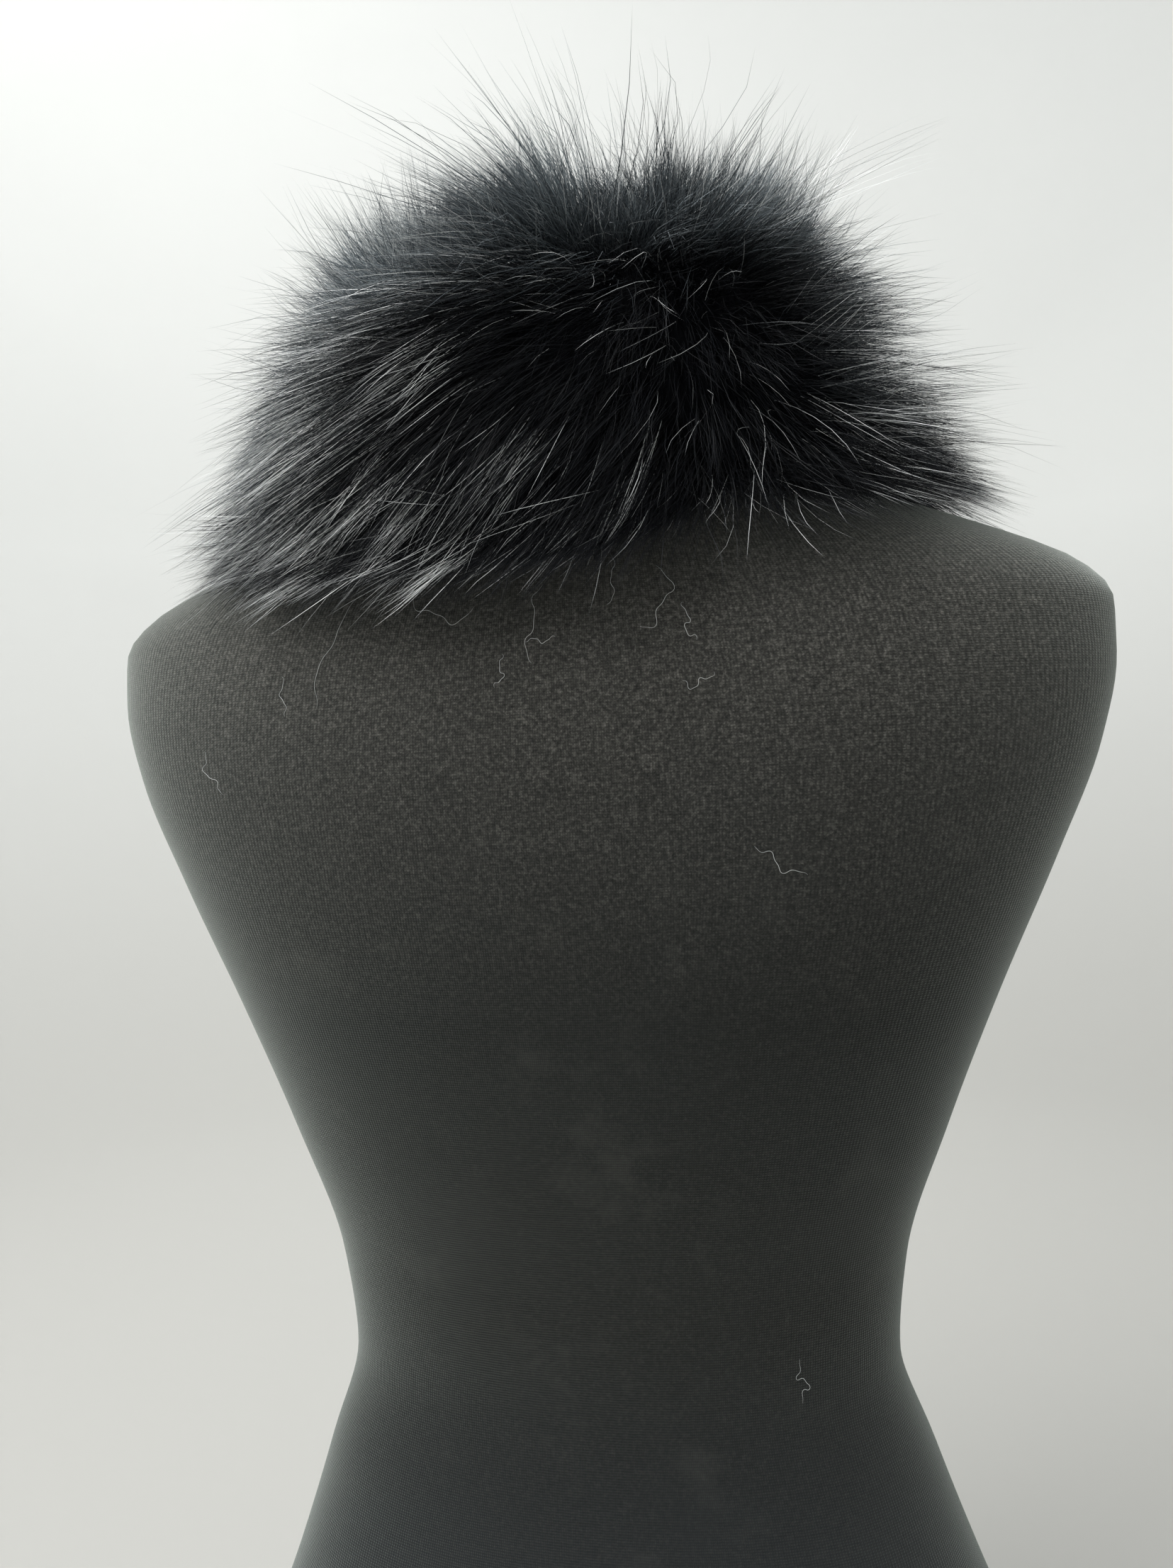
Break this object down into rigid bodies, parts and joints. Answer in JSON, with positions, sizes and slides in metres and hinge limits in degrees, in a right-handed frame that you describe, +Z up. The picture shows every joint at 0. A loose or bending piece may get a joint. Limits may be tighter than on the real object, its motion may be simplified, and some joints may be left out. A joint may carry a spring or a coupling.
{
  "type": "fur collar wrap on dress form",
  "caption": "Long-haired dark fur collar wrap standing round the neck of a limbless jersey-covered dress form, closed in front.",
  "frame": {"origin": "middle of the dress form's flat underside, under the axis of its neck", "axes": "+Z up, the front of the form and of the wrap faces -Y, the form's own left side is +X"},
  "size_m": [0.386, 0.2634, 0.7081],
  "materials": {
    "form_cover": "brushed charcoal jersey, matt with a pale nap",
    "fur": "long blue-black fur with silver guard hair",
    "pelt_skin": "dark dressed skin, matt"
  },
  "bodies": {
    "root": {"dress_form": "form_cover", "collar_left_back": "fur", "collar_left_side": "fur", "collar_left_front": "fur", "collar_right_front": "fur", "collar_right_side": "fur", "collar_right_back": "fur"}
  },
  "joints": []
}
